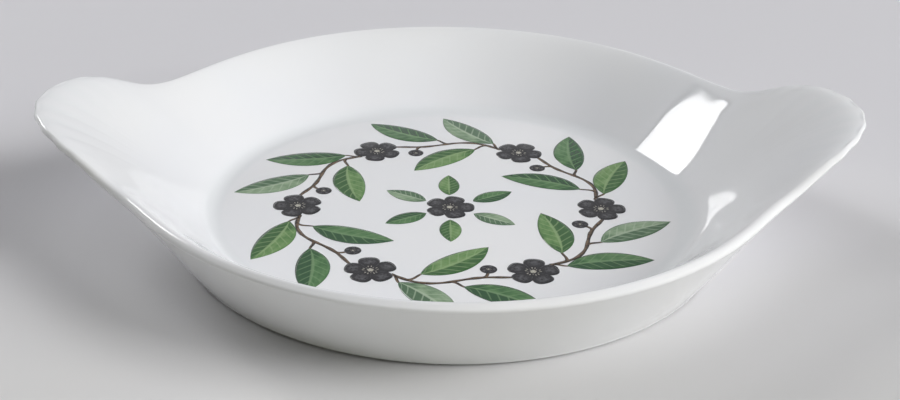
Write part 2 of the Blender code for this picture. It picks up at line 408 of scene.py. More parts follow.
@dataclass(frozen=True)
class LeafInk:
    """Printed leaf: a dark half and a light half, a pale midrib and fine side veins, in uneven washes."""

    shade: LeafShade
    veins: float = 8.0
    vein_sweep: float = 1.3
    vein_width: float = 0.13
    vein_core: float = 0.3
    vein_end: Span = (0.70, 0.95)
    vein_strength: float = 0.55
    midrib_side: Span = (0.04, 0.14)
    midrib_end: Span = (0.8, 1.0)
    midrib_strength: float = 0.8
    edge_side: Span = (0.86, 0.99)
    edge_strength: float = 0.65
    half_side: Span = (-0.05, 0.08)
    half_strength: float = 0.45
    wash_size: float = 0.0045
    wash_strength: float = 0.55
    stroke_size: float = 0.0012
    stroke_stretch: Place = (0.35, 1.0, 1.0)
    stroke_strength: float = 0.5
    tone_strength: float = 0.4
    base_end: Span = (0.0, 0.35)
    base_shade: float = 0.35
    middle_limits: Span = (0.25, 0.75)
    light_limits: Span = (0.55, 1.10)
    light_strength: float = 0.9
    gloss: float = 0.07
    stroke_dulling: float = 0.05

    def material(self) -> bpy.types.Material:
        """Makes the ink's material.

        Returns:
            The material.
        """
        material, board = new_board(f"leaf_ink_{self.shade.name.lower()}")
        dark, middle, light = self.shade.value
        place = board.place()
        up_leaf = board.mark(Mark.ALONG)
        across = board.mark(Mark.ACROSS)
        side = abs(across)

        wash = board.noise(place, self.wash_size)
        strokes = board.noise(board.stretched(place, self.stroke_stretch), self.stroke_size, detail=1.0)
        lit = across.rising(*self.half_side) * self.half_strength + wash * self.wash_strength
        lit = lit + (strokes - 0.5) * self.stroke_strength + board.mark(Mark.TONE) * self.tone_strength
        lit = lit - up_leaf.falling(*self.base_end) * self.base_shade

        row = up_leaf * self.veins - side * self.vein_sweep
        from_vein = board.math("PINGPONG", row, 0.5)
        vein = from_vein.falling(self.vein_width * self.vein_core, self.vein_width)
        vein = vein * side.falling(*self.vein_end)
        midrib = side.falling(*self.midrib_side) * up_leaf.falling(*self.midrib_end)
        edge = side.rising(*self.edge_side)

        colour = board.mix(lit.rising(*self.middle_limits), dark, middle)
        colour = board.mix(lit.rising(*self.light_limits) * self.light_strength, colour, light)
        colour = board.mix(vein * self.vein_strength, colour, light)
        colour = board.mix(midrib * self.midrib_strength, colour, light)
        colour = board.mix(edge * self.edge_strength, colour, dark)
        roughness = self.gloss + strokes * self.stroke_dulling
        board.surface({"Base Color": colour, "Roughness": roughness, "IOR": INK_IOR})
        return material


@dataclass(frozen=True)
class BlossomInk:
    """Printed blossom: near-black petals with a grey sheen, and a pale eye with a ring of dots."""

    dark: Colour = (0.016, 0.016, 0.019)
    sheen: Colour = (0.135, 0.135, 0.145)
    pale: Colour = (0.520, 0.500, 0.430)
    petal_side: Span = (0.15, 0.85)
    petal_start: Span = (0.38, 0.62)
    petal_end: Span = (0.70, 0.97)
    sheen_strength: float = 0.85
    crease_side: Span = (0.80, 1.00)
    crease_start: Span = (0.2, 0.5)
    crease_strength: float = 0.8
    eye_edge: Span = (0.10, 0.15)
    dots_per_petal: int = 3
    dot_side: Span = (0.30, 0.42)
    dot_start: Span = (0.22, 0.25)
    dot_end: Span = (0.30, 0.34)
    pale_strength: float = 0.85
    stroke_size: float = 0.0009
    stroke_limits: Span = (0.25, 0.75)
    gloss: float = 0.06
    stroke_dulling: float = 0.06

    def material(self) -> bpy.types.Material:
        """Makes the ink's material.

        Returns:
            The material.
        """
        material, board = new_board("blossom_ink")
        place = board.place()
        out = board.mark(Mark.ALONG)
        across = board.mark(Mark.ACROSS)
        side = abs(across)
        strokes = board.noise(place, self.stroke_size, detail=3.0)

        petal = side.falling(*self.petal_side) * out.rising(*self.petal_start) * out.falling(*self.petal_end)
        sheen = petal * strokes.rising(*self.stroke_limits)
        colour = board.mix(sheen * self.sheen_strength, self.dark, self.sheen)
        crease = side.rising(*self.crease_side) * out.rising(*self.crease_start)
        colour = board.mix(crease * self.crease_strength, colour, self.dark)
        eye = out.falling(*self.eye_edge)
        dot = board.math("PINGPONG", across * (self.dots_per_petal / 2), 0.5).rising(*self.dot_side)
        dots = dot * out.rising(*self.dot_start) * out.falling(*self.dot_end)
        colour = board.mix(board.math("MAXIMUM", eye, dots) * self.pale_strength, colour, self.pale)
        roughness = self.gloss + strokes * self.stroke_dulling
        board.surface({"Base Color": colour, "Roughness": roughness, "IOR": INK_IOR})
        return material


@dataclass(frozen=True)
class StemInk:
    """Printed stem: brown, lighter along one side, with dark edges and knots."""

    dark: Colour = (0.030, 0.020, 0.014)
    light: Colour = (0.210, 0.140, 0.085)
    light_side: Span = (-0.45, 0.75)
    edge_side: Span = (0.55, 1.00)
    knot_size: float = 0.0016
    knot_limits: Span = (0.25, 0.70)
    gloss: float = 0.07
    knot_dulling: float = 0.06

    def material(self) -> bpy.types.Material:
        """Makes the ink's material.

        Returns:
            The material.
        """
        material, board = new_board("stem_ink")
        knots = board.noise(board.place(), self.knot_size, detail=3.0)
        across = board.mark(Mark.ACROSS)
        lit = across.falling(*self.light_side) * abs(across).falling(*self.edge_side)
        colour = board.mix(lit * knots.rising(*self.knot_limits), self.dark, self.light)
        roughness = self.gloss + knots * self.knot_dulling
        board.surface({"Base Color": colour, "Roughness": roughness, "IOR": INK_IOR})
        return material


@dataclass(frozen=True)
class TableTop:
    """Matt pale grey paper that the dish stands on, with painted light: drawn lighter and warmer at the front
    and cooler towards the back.
    """

    # painted light: near is the paper as it is lit at the front, far as it is lit towards the back
    near: Colour = (0.684, 0.680, 0.668)
    far: Colour = (0.668, 0.663, 0.690)
    change: Span = (-0.16, 0.08)
    cloud_size: float = 0.05
    cloud_shift: float = 0.1
    roughness: float = 0.85
    specular: float = 0.2

    def material(self) -> bpy.types.Material:
        """Makes the paper's material.

        Returns:
            The material.
        """
        material, board = new_board("table_top")
        place = board.place()
        _, away, _ = board.axes(place)
        clouds = board.noise(place, self.cloud_size) - 0.5
        # painted light: the colour moves from the near to the far tone across the table, along a soft wavy
        # edge
        share = (away + clouds * self.cloud_shift).rising(*self.change)
        colour = board.mix(share, self.near, self.far)
        matt = {"Roughness": self.roughness, "Specular IOR Level": self.specular}
        board.surface({"Base Color": colour, **matt})
        return material


def finish_piece(piece: bpy.types.Object, node: str) -> None:
    """Attaches a piece to the part's body and hides the solid that it stands for.

    Args:
        piece: The dressed piece, in its place.
        node: Name of the solid.
    """
    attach(piece, BODY)
    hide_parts(node)
    LOG.info("%s stands for %s, %d faces", piece.name, node, len(piece.data.polygons))


def new_piece(name: str, shape: bmesh.types.BMesh, material: bpy.types.Material) -> bpy.types.Object:
    """Makes a smooth object of a finished shape and adds it to the scene.

    Args:
        name: The piece's name.
        shape: Its mesh, which is freed.
        material: Its finish.

    Returns:
        The object.
    """
    bmesh.ops.recalc_face_normals(shape, faces=shape.faces)
    mesh = bpy.data.meshes.new(name)
    shape.to_mesh(mesh)
    shape.free()
    mesh.shade_smooth()
    mesh.materials.append(material)
    piece = bpy.data.objects.new(name, mesh)
    bpy.context.scene.collection.objects.link(piece)
    return piece


def add_skin(shape: bmesh.types.BMesh, rows: Sequence[Sequence[bmesh.types.BMVert]], ring: bool) -> None:
    """Spans faces between neighbouring rows of corners.

    Args:
        shape: The mesh.
        rows: The rows, each with as many corners.
        ring: Whether the last row joins the first.
    """
    following = [*rows[1:], rows[0]] if ring else rows[1:]
    for row, next_row in zip(rows, following):
        for corners in zip(row, next_row, next_row[1:], row[1:]):
            shape.faces.new(corners)


def look_at(viewer: bpy.types.Object, aim: Place, roll: float) -> None:
    """Turns a camera or lamp towards a place and adds it to the scene.

    Args:
        viewer: The camera or lamp, in its own place.
        aim: Where it looks.
        roll: Its turn about its line of sight.
    """
    facing = (Vector(aim) - viewer.location).to_track_quat("-Z", "Y")
    viewer.rotation_euler = (facing @ Quaternion((0.0, 0.0, 1.0), roll)).to_euler()
    bpy.context.scene.collection.objects.link(viewer)


@dataclass
class PorcelainDish:
    """The one fired body: round bowl, foot ring and two ears with scallop flutes."""

    rim_radius: float = 0.0815
    rim_height: float = 0.0234
    lip_thickness: float = 0.0028
    inner_rim_slope: float = math.radians(32)
    lip_roll: float = 0.0040
    lip_squareness: float = 3.0
    square_from: float = math.radians(35)
    square_by: float = math.radians(65)
    outer_rim_slope: float = math.radians(57)
    floor_radius: float = 0.0587
    floor_height: float = 0.0048
    cove_radius: float = 0.0060
    cove_slope: float = math.radians(43.5)
    inner_fullness: float = 0.32
    swell_angle: float = math.radians(-12)
    swell_width: float = math.radians(19)
    swell_cove: float = 0.0140
    swell_slope: float = math.radians(3)
    swell_fullness: float = 0.06
    outer_fullness: float = 0.42

    base_radius: float = 0.0691
    base_lift: float = 0.0005
    base_rounding: float = 0.0003
    base_slope: float = math.radians(54)
    foot_radius: float = 0.0662
    foot_width: float = 0.0036
    foot_rounding: float = 0.0003
    foot_recess: float = 0.0016

    ear_length: float = 0.2076
    ear_height: float = 0.0334
    ear_edge: float = 0.0017
    ear_width: float = 0.0487
    ear_slope: float = math.radians(-8)
    ear_roll: float = 0.0070
    ear_under_slope: float = math.radians(12)
    ear_roundness: float = 0.59
    ear_shoulder: float = 6.0
    ear_crown: float = 0.0024
    ear_blend: float = 0.0057

    flute_count: int = 7
    flute_pitch: float = 0.0082
    flute_apex: float = 0.0580
    flute_relief: float = 0.00012
    edge_scallop: float = 0.0003
    uneven_scallop: float = 0.0006
    flute_fade: float = 0.0180
    groove_depth: float = 0.00005
    groove_sharpness: int = 6
    groove_reach: tuple[float, float, float, float] = (-0.0050, 0.0, 0.0090, 0.0180)

    shoulder_reach: float = 2.2
    fan_steps: int = 120
    shoulder_steps: int = 18
    bowl_steps: int = 46
    wall_steps: int = 26
    cove_steps: int = 10
    lip_steps: int = 18
    rounding_steps: int = 4

    @property
    def lip_half(self) -> float:
        """Half the lip's thickness."""
        return self.lip_thickness / 2

    @property
    def ear_reach(self) -> float:
        """How far an ear stands out from the rim."""
        return self.ear_length / 2 - self.ear_edge / 2 - self.rim_radius

    @property
    def ear_rise(self) -> float:
        """How far the middle of the lip climbs from the rim to an ear's tip."""
        return (self.ear_height - self.ear_edge / 2) - (self.rim_height - self.lip_half)

    @property
    def ear_middle(self) -> float:
        """Radius halfway out along an ear."""
        return self.rim_radius + self.ear_reach / 2

    @property
    def ear_half_angle(self) -> float:
        """Angle from an ear's centre line to its side, halfway out."""
        return math.asin(self.ear_width / 2 / self.ear_middle)

    def off_ear(self, angle: float) -> float:
        """Signed angle from the nearer ear's centre line."""
        return (angle + math.pi / 2) % math.pi - math.pi / 2

    def ear_share(self, angle: float) -> float:
        """How far the rim has grown into an ear: 1 at its tip, falling to 0 along the bowl's sides."""
        t = abs(self.off_ear(angle)) / self.ear_half_angle
        return 1 / (1 + blend(t**self.ear_shoulder, t**2, self.ear_roundness))

    def ear_lift(self, x: float) -> float:
        """How far the lip's middle has climbed from the bowl's own rim.

        Args:
            x: Distance out along the ear.

        Returns:
            The height over the rim's.
        """
        out = (x - self.rim_radius) / self.ear_reach
        soft = self.ear_blend / self.ear_reach
        ramp = (out + math.hypot(out, soft)) / (1 + math.hypot(1, soft))
        return self.ear_rise * ramp + 4 * self.ear_crown * ramp * (1 - ramp)

    def flute_place(self, x: float, y: float) -> float:
        """Place across the fan of flutes, counted in flutes from the ear's centre line."""
        pitch = self.flute_pitch / (self.ear_length / 2 - self.flute_apex)
        return math.atan2(y, x - self.flute_apex) / pitch

    def flute_wave(self, x: float, y: float) -> float:
        """Profile of the flutes: 1 on a crest, 0 in a valley and beside the fan.

        Args:
            x: Distance out along the ear.
            y: Distance from the ear's centre line.

        Returns:
            The height, as a share of the relief.
        """
        place = self.flute_place(x, y)
        beside = (abs(place) - self.flute_count / 2) * 2
        return math.cos(math.pi * place) ** 2 * (1 - smoothstep(beside))

    def lip_centre(self, angle: float) -> Point:
        """Radius and height of the middle of the lip, without the notches in the ear's edge."""
        radius = self.rim_radius + self.ear_reach * self.ear_share(angle)
        return radius, self.rim_height - self.lip_half + self.ear_lift(radius * math.cos(self.off_ear(angle)))

    def notched(self, profile: Sequence[Point], angle: float) -> list[Point]:
        """Draws in the points near the ear's edge, which makes the notches between flutes.

        They are deepest on the far side of the ear at +X, which is trimmed less evenly than the rest.

        Args:
            profile: Points of a section.
            angle: Where round the dish.

        Returns:
            The points, moved.
        """
        share = self.ear_share(angle)
        edge = self.rim_radius + self.ear_reach * share
        spot = polar(edge, self.off_ear(angle))
        crest = self.flute_wave(*spot)
        uneven = self.uneven_scallop * smoothstep(self.flute_place(*spot)) if math.cos(angle) > 0 else 0.0
        depth = (self.edge_scallop + uneven) * (1 - crest) * smoothstep(2 * share)
        return [(r - depth * smoothstep(1 + (r - edge) / self.ear_roll), z) for r, z in profile]

    def relief(self, radius: float, angle: float) -> float:
        """How deep a place on the inside lies under the flutes' crests, as a share of the relief."""
        x, y = polar(radius, self.off_ear(angle))
        return (1 - self.flute_wave(x, y)) * smoothstep((x - self.rim_radius) / self.flute_fade)

    def groove(self, radius: float, angle: float) -> float:
        """How deep a place lies in one of the fine lines along the flutes' valleys.

        Args:
            radius: Distance from the dish's middle.
            angle: Where round the dish.

        Returns:
            The depth: full where the ear leaves the wall, and none farther out or in.
        """
        x, y = polar(radius, self.off_ear(angle))
        start, full, waning, end = (self.rim_radius + reach for reach in self.groove_reach)
        shown = smoothstep((x - start) / (full - start)) * smoothstep((end - x) / (end - waning))
        inside_fan = smoothstep(self.flute_count / 2 - abs(self.flute_place(x, y)))
        return self.groove_depth * shown * inside_fan * (1 - self.flute_wave(x, y)) ** self.groove_sharpness

    def squareness(self, angle: float) -> float:
        """Power of the lip's outline: 2, a half circle, round the ears, and more along the bowl's sides."""
        share = (abs(self.off_ear(angle)) - self.square_from) / (self.square_by - self.square_from)
        return blend(2.0, self.lip_squareness, smoothstep(share))

    def rounded_lip(self, angle: float, half: float, first: float, last: float) -> list[Point]:
        """The section over the lip.

        Args:
            angle: Where round the dish.
            half: Half the lip's thickness.
            first: Direction from its middle to the end of the inside.
            last: Direction from its middle to the start of the outside.

        Returns:
            The points, both ends included.
        """
        centre, power = self.lip_centre(angle), self.squareness(angle)
        points = []
        for share in spaced(-1.0, 1.0, self.lip_steps):
            turn = share * math.pi / 2
            bulge = abs(math.cos(turn)) ** power + abs(math.sin(turn)) ** power
            points.append(along(centre, blend(first, last, (share + 1) / 2), half * bulge ** (-1 / power)))
        return points

    def rounded_foot(self) -> list[Point]:
        """The section under the wall: round its lower edge, over the foot ring and to the underside.

        Returns:
            The points, from the edge inwards.
        """
        radius, rounding = self.foot_radius, self.foot_rounding
        ring = radius - self.foot_width
        turns = spaced(0.0, math.pi / 2, self.rounding_steps)
        base = (self.base_radius - self.base_rounding, self.base_lift + self.base_rounding)
        edge = [along(base, -turn, self.base_rounding) for turn in turns]
        outside = [along((radius - rounding, rounding), -turn, rounding) for turn in turns]
        inside = [along((ring + rounding, rounding), -math.pi / 2 - turn, rounding) for turn in turns]
        hollow = self.foot_recess - rounding
        corner = [along((ring - hollow, rounding), turn, hollow) for turn in turns]
        return edge[1:] + [(radius, self.base_lift)] + outside + inside + corner[1:]

    def swell(self, angle: float) -> float:
        """How far the inside swells: 1 where the wall runs up into the ear at +X, falling to 0 elsewhere."""
        off = (angle - self.swell_angle + math.pi) % (2 * math.pi) - math.pi
        return math.exp(-((off / self.swell_width) ** 2))

    def cove_at(self, angle: float) -> Point:
        """Radius of the floor's edge, and of the cove, which is softer where the inside swells."""
        soft = self.swell_cove * self.swell(angle)
        return self.floor_radius - soft * math.tan(self.cove_slope / 2), self.cove_radius + soft

    def floor_rise(self, x: float, y: float) -> float:
        """How far the cove has risen over the flat floor, at a place on the print."""
        edge, cove = self.cove_at(math.atan2(y, x))
        return cove - math.sqrt(cove**2 - max(math.hypot(x, y) - edge, 0.0) ** 2)

    def section(self, angle: float) -> tuple[list[Point], int]:
        """The wall's section, from the floor's edge up the inside, over the lip and down to the underside.

        Args:
            angle: Where round the dish.

        Returns:
            The points, and how many of them are on the inside.
        """
        share = self.ear_share(angle)
        inner_slope = blend(self.inner_rim_slope, self.ear_slope, share)
        outer_slope = blend(self.outer_rim_slope, self.ear_under_slope, share)
        lip = self.lip_centre(angle)
        half = blend(self.lip_half, self.ear_edge / 2, share)
        over_lip, under_lip = inner_slope + math.pi / 2, outer_slope - math.pi / 2
        inner_lip = along(lip, over_lip, half)
        outer_lip = along(lip, under_lip, half)

        swell = self.swell(angle)
        wall_slope = self.cove_slope + self.swell_slope * swell
        floor_edge, cove_radius = self.cove_at(angle)
        centre = (floor_edge, self.floor_height + cove_radius)
        turns = spaced(-math.pi / 2, wall_slope - math.pi / 2, self.cove_steps)
        cove = [along(centre, turn, cove_radius) for turn in turns]
        reach = math.dist(cove[-1], inner_lip) * (self.inner_fullness + self.swell_fullness * swell)
        roll = blend(self.lip_roll, self.ear_roll, share)
        handles = along(cove[-1], wall_slope, reach), along(inner_lip, inner_slope, -roll)
        wall = bezier((cove[-1], *handles, inner_lip), self.wall_steps)
        inside = list(cove)
        for r, z in wall[1:]:
            inside.append((r, z - self.flute_relief * self.relief(r, angle) - self.groove(r, angle)))

        edge = self.rounded_lip(angle, half, over_lip, under_lip)
        base_edge = (self.base_radius, self.base_lift + self.base_rounding)
        reach = math.dist(base_edge, outer_lip) * self.outer_fullness
        handles = along(outer_lip, outer_slope, -reach), along(base_edge, self.base_slope, reach)
        outside = bezier((outer_lip, *handles, base_edge), self.wall_steps)
        return self.notched(inside + edge[1:-1] + outside, angle) + self.rounded_foot(), len(inside)

    def section_angles(self) -> list[float]:
        """Spaces the sections all round, close together on the flutes and wider along the bowl's sides.

        Returns:
            Their angles, in order.
        """
        fan = math.atan2((self.flute_count + 1) * self.flute_pitch / 2, self.ear_middle)
        shoulder = self.shoulder_reach * self.ear_half_angle
        zones = (
            (-fan, fan, self.fan_steps),
            (fan, shoulder, self.shoulder_steps),
            (shoulder, math.pi - shoulder, self.bowl_steps),
            (math.pi - shoulder, math.pi - fan, self.shoulder_steps),
        )
        angles = []
        for ear in (0.0, math.pi):
            for first, last, steps in zones:
                angles += [ear + turn for turn in spaced(first, last, steps)[:-1]]
        return angles

    def build(self) -> bpy.types.Object:
        """Lofts the body and dresses it.

        Returns:
            The dish.
        """
        shape = bmesh.new()
        crest = shape.verts.layers.float.new(Mark.CREST.value)
        rows = []
        for angle in self.section_angles():
            points, inside = self.section(angle)
            row = []
            for i, (radius, height) in enumerate(points):
                vert = shape.verts.new((*polar(radius, angle), height))
                vert[crest] = 1 - self.relief(radius, angle) if i < inside else 1.0
                row.append(vert)
            rows.append(row)
        add_skin(shape, rows, ring=True)
        shape.faces.new([row[0] for row in rows])
        shape.faces.new([row[-1] for row in reversed(rows)])
        dish = new_piece("glazed_dish", shape, PorcelainGlaze().material())
        finish_piece(dish, "porcelain_dish")
        return dish


@dataclass
class InkFilm:
    """A film of ink on the floor: a grid of points with marks, thinnest at its edges."""

    height: float
    thickness: float = 0.00003
    feather: float = 0.000004
    weld: float = 1e-7

    def build(
        self,
        name: str,
        patches: Sequence[Sequence[Sequence[Marked]]],
        ink: bpy.types.Material,
        tone: float = 0.0,
        ring: bool = False,
    ) -> bpy.types.Object:
        """Makes the film as thin closed sheets.

        Args:
            name: The piece's name.
            patches: Its sheets, each as rows of points with x, y and their marks along and across.
            ink: Its finish.
            tone: How light this film is printed.
            ring: Whether a sheet's last row joins its first.

        Returns:
            The film, lying at the origin of its own axes.
        """
        shape = bmesh.new()
        layers = [shape.verts.layers.float.new(m.value) for m in (Mark.ALONG, Mark.ACROSS, Mark.TONE)]
        for rows in patches:
            self.add_sheet(shape, rows, layers, tone, ring)
        bmesh.ops.remove_doubles(shape, verts=shape.verts, dist=self.weld)
        film = new_piece(name, shape, ink)
        film.location.z = self.height
        return film

    def add_sheet(
        self,
        shape: bmesh.types.BMesh,
        rows: Sequence[Sequence[Marked]],
        layers: Sequence[bmesh.types.BMLayerItem],
        tone: float,
        ring: bool,
    ) -> None:
        """Adds one thin closed sheet to the film's mesh.

        Args:
            shape: The mesh.
            rows: Rows of points with x, y and their marks along and across.
            layers: Where the marks along and across and the tone go.
            tone: How light the film is printed.
            ring: Whether the last row joins the first.
        """
        sheets = []
        for top in (True, False):
            sheet = []
            for i, row in enumerate(rows):
                ends = not ring and i in (0, len(rows) - 1)
                line = []
                for j, (x, y, up, across) in enumerate(row):
                    rim = ends or j == len(row) - 1 or (j == 0 and not ring)
                    lift = 0.0 if not top else self.feather if rim else self.thickness
                    vert = shape.verts.new((x, y, lift))
                    for layer, mark in zip(layers, (up, across, tone)):
                        vert[layer] = mark
                    line.append(vert)
                sheet.append(line)
            sheets.append(sheet)
        for sheet in sheets:
            add_skin(shape, sheet, ring)
        self.close_edges(shape, *sheets, ring)

    def close_edges(
        self,
        shape: bmesh.types.BMesh,
        top: Sequence[Sequence[bmesh.types.BMVert]],
        low: Sequence[Sequence[bmesh.types.BMVert]],
        ring: bool,
    ) -> None:
        """Joins the edges of the two sheets.

        Args:
            shape: The mesh.
            top: Rows of the upper sheet.
            low: Rows of the lower sheet.
            ring: Whether the last row joins the first.
        """

        def border(sheet: Sequence[Sequence[bmesh.types.BMVert]]) -> list[bmesh.types.BMVert]:
            """Finds the edge of a sheet.

            Args:
                sheet: Its rows.

            Returns:
                The corners of its outline, in order.
            """
            outer = [row[-1] for row in sheet]
            if ring:
                return outer
            inner = [row[0] for row in sheet]
            return list(sheet[0][:-1]) + outer + list(sheet[-1][-2::-1]) + inner[-2:0:-1]

        upper, lower = border(top), border(low)
        count = len(upper)
        for i in range(count):
            j = (i + 1) % count
            shape.faces.new((upper[i], upper[j], lower[j], lower[i]))


@dataclass
class Garland:
    """The print: a ring of sprigs with blossoms, stems, leaves and buds, and a rosette in the middle."""

    dish: PorcelainDish
    margin: float = 0.0020
    clearance: float = 0.0003
    sprig_count: int = 6
    leaf_length: float = 0.0220
    leaf_width: float = 0.0084
    leaf_bow: float = 0.0016
    leaf_base: float = 0.22
    leaf_shoulder: float = 0.68
    outer_leaf_angle: float = math.radians(33)
    inner_leaf_angle: float = math.radians(52)
    blossom_radius: float = 0.0064
    petal_count: int = 5
    petal_notch: float = 0.0020
    outer_leaf_shares: Mapping[str, float] = field(default_factory=lambda: {"a": 0.20, "b": 0.56})
    inner_leaf_share: float = 0.30
    bud_share: float = 0.75
    stem_width: float = 0.0011
    stem_wave: float = 0.0014
    stem_sink: float = 0.0008
    stem_thinning: float = 0.85
    stem_thickening: float = 0.3
    stem_knots: int = 7
    stalk_run: float = 0.07
    stalk_sink: float = 0.0006
    stalk_bend: float = 0.4
    stalk_taper: Span = (0.9, 0.6)
    bud_radius: float = 0.0021
    bud_offset: float = 0.0050
    bud_turn: float = math.radians(144)
    centre_leaf_length: float = 0.0120
    centre_leaf_width: float = 0.0056
    tone_range: float = 0.15
    tone_step: float = 2.4
    layer: float = 0.000012

    leaf_steps: int = 28
    half_steps: int = 5
    petal_steps: int = 16
    ring_start: float = 0.02
    ring_steps: int = 9
    stem_steps: int = 48
    stem_sides: int = 4
    stalk_steps: int = 10

    def __post_init__(self) -> None:
        """Makes the inks once for all patches."""
        self.leaf_inks = {shade: LeafInk(shade).material() for shade in LeafShade}
        self.blossom_ink = BlossomInk().material()
        self.stem_ink = StemInk().material()
        self.pitch = 2 * math.pi / self.sprig_count

    @property
    def leaf_offset(self) -> float:
        """Distance of a leaf's stalk from the middle of the stem."""
        return self.stem_width / 2 + self.stem_wave + 2 * self.clearance

    @property
    def ring(self) -> float:
        """Sizes the ring of sprigs so that the outer leaves' tips lie just inside the edge of the floor.

        Returns:
            Its radius.
        """
        tip_ahead, tip_out = polar(self.leaf_length, self.outer_leaf_angle)
        edge = self.dish.floor_radius - self.margin
        return math.sqrt(edge**2 - tip_ahead**2) - tip_out - self.leaf_offset

    def film(self, level: Level) -> InkFilm:
        """A film of ink that lies over those of lower levels."""
        return InkFilm(self.dish.floor_height + self.layer * level.value)

    def lay(self, film: bpy.types.Object, node: str, spot: Point, turn: float) -> None:
        """Puts a film in its place on the floor, where it follows the soft edge of the cove.

        Args:
            film: The piece.
            node: The solid it stands for.
            spot: Where its own origin goes.
            turn: Its turn about that origin.
        """
        film.location.x, film.location.y = spot
        film.rotation_euler.z = turn
        for vert in film.data.vertices:
            x, y = turned((vert.co.x, vert.co.y), turn)
            vert.co.z += self.dish.floor_rise(x + spot[0], y + spot[1])
        finish_piece(film, node)

    def leaf_rows(self, length: float, width: float, bow: float) -> list[list[Marked]]:
        """Points of a pointed leaf along +X from its stalk, bowed to one side.

        Args:
            length: From stalk to tip.
            width: Across its widest part.
            bow: Sideways bend of its midrib.

        Returns:
            Rows across the leaf, from stalk to tip.
        """
        near, far = self.leaf_base * length, self.leaf_shoulder * length
        edges = []
        for half in (-width / 2, width / 2):
            bulge = half / CUBIC_BULGE + bow
            edges.append(bezier(((0.0, 0.0), (near, bulge), (far, bulge), (length, 0.0)), self.leaf_steps))
        rows = []
        for (x, right), (_, left) in zip(*edges):
            shares = spaced(-1.0, 1.0, 2 * self.half_steps)
            rows.append([(x, blend(right, left, (share + 1) / 2), x / length, share) for share in shares])
        return rows

    def blossom_rows(self, radius: float, notch: float) -> list[list[Marked]]:
        """Points of a round blossom, from its middle to its edge.

        Args:
            radius: To a petal's tip.
            notch: Depth of the cuts between petals.

        Returns:
            Spokes of points, all round.
        """
        rows = []
        count = self.petal_count * self.petal_steps
        for i in range(count):
            turn = 2 * math.pi * i / count
            cut = (1 - abs(math.cos(self.petal_count * turn / 2))) ** 2
            edge = radius - notch * cut
            across = (turn * self.petal_count / math.pi + 1) % 2 - 1
            shares = spaced(self.ring_start, 1.0, self.ring_steps)
            rows.append([(*polar(edge * share, turn), share, across) for share in shares])
        return rows

    def stem_middle(self, share: float) -> Point:
        """The middle of the wavy stem.

        Args:
            share: How far along its way from blossom to blossom.

        Returns:
            Radius and angle.
        """
        angle = self.pitch * share
        gap = (self.blossom_radius + 2 * self.clearance) / self.ring
        run = (angle - gap) / (self.pitch - 2 * gap)
        return self.ring + self.stem_wave * math.sin(2 * math.pi * run), angle

    def stem_rows(self) -> list[list[Marked]]:
        """Points of one wavy stem round the floor's centre, from angle 0.

        Returns:
            Rows across the stem.
        """
        gap = (self.blossom_radius - self.stem_sink) / self.ring / self.pitch
        rows = []
        for share in spaced(gap, 1 - gap, self.stem_steps):
            radius, angle = self.stem_middle(share)
            knot = math.sin(self.stem_knots * math.pi * share) ** 2
            half = self.stem_width / 2 * (self.stem_thinning + self.stem_thickening * knot)
            sides = spaced(-1.0, 1.0, self.stem_sides)
            rows.append([(*polar(radius + half * side, angle), share, side) for side in sides])
        return rows

    def stalk_rows(self, share: float, spot: Point, turn: float) -> list[list[Marked]]:
        """Points of a short stalk that leaves the stem and runs into a leaf or bud.

        Args:
            share: Place of the leaf along the stem.
            spot: Where the leaf begins.
            turn: Which way the leaf points.

        Returns:
            Rows across the stalk.
        """
        radius, angle = self.stem_middle(share - self.stalk_run)
        root, tip = polar(radius, angle), along(spot, turn, self.stalk_sink)
        reach = math.dist(root, tip) * self.stalk_bend
        handles = along(root, angle + math.pi / 2, reach), along(tip, turn, -reach)
        middle = bezier((root, *handles, tip), self.stalk_steps)
        rows = []
        for i, point in enumerate(middle):
            before, after = middle[max(i - 1, 0)], middle[min(i + 1, self.stalk_steps)]
            across = math.atan2(after[1] - before[1], after[0] - before[0]) + math.pi / 2
            half = self.stem_width / 2 * blend(*self.stalk_taper, i / self.stalk_steps)
            sides = spaced(-1.0, 1.0, self.stem_sides)
            rows.append([(*along(point, across, half * side), share, side) for side in sides])
        return rows

    def outer_leaf_place(self, share: float) -> tuple[Point, float]:
        """Where an outer leaf begins and which way it points, on the sprig that starts at angle 0."""
        angle = share * self.pitch
        return polar(self.ring + self.leaf_offset, angle), angle + math.pi / 2 - self.outer_leaf_angle

    def inner_leaf_place(self) -> tuple[Point, float]:
        """Where the inner leaf begins and which way it points, on the sprig that starts at angle 0."""
        angle = self.inner_leaf_share * self.pitch
        return polar(self.ring - self.leaf_offset, angle), angle + math.pi / 2 + self.inner_leaf_angle

    def bud_place(self) -> tuple[Point, float]:
        """Where the bud is and which way its stalk points, on the sprig that starts at angle 0."""
        angle = self.bud_share * self.pitch
        return polar(self.ring - self.bud_offset, angle), angle + self.bud_turn

    def stem_patches(self) -> list[list[list[Marked]]]:
        """The stem on the sprig that starts at angle 0, with the stalks of its leaves and bud.

        Returns:
            A patch for each, as rows of points.
        """
        patches = [self.stem_rows()]
        for share in self.outer_leaf_shares.values():
            patches.append(self.stalk_rows(share, *self.outer_leaf_place(share)))
        patches.append(self.stalk_rows(self.inner_leaf_share, *self.inner_leaf_place()))
        patches.append(self.stalk_rows(self.bud_share, *self.bud_place()))
        return patches

    def build_blossom(self, node: str, size: Point, spot: Point, turn: float) -> None:
        """Prints one blossom or bud.

        Args:
            node: The solid it stands for.
            size: Its radius and the depth of its notches.
            spot: Where its middle is.
            turn: Which way its first petal points.
        """
        rows = self.blossom_rows(*size)
        film = self.film(Level.BLOSSOM).build(f"printed_{node}", [rows], self.blossom_ink, ring=True)
        self.lay(film, node, spot, turn)

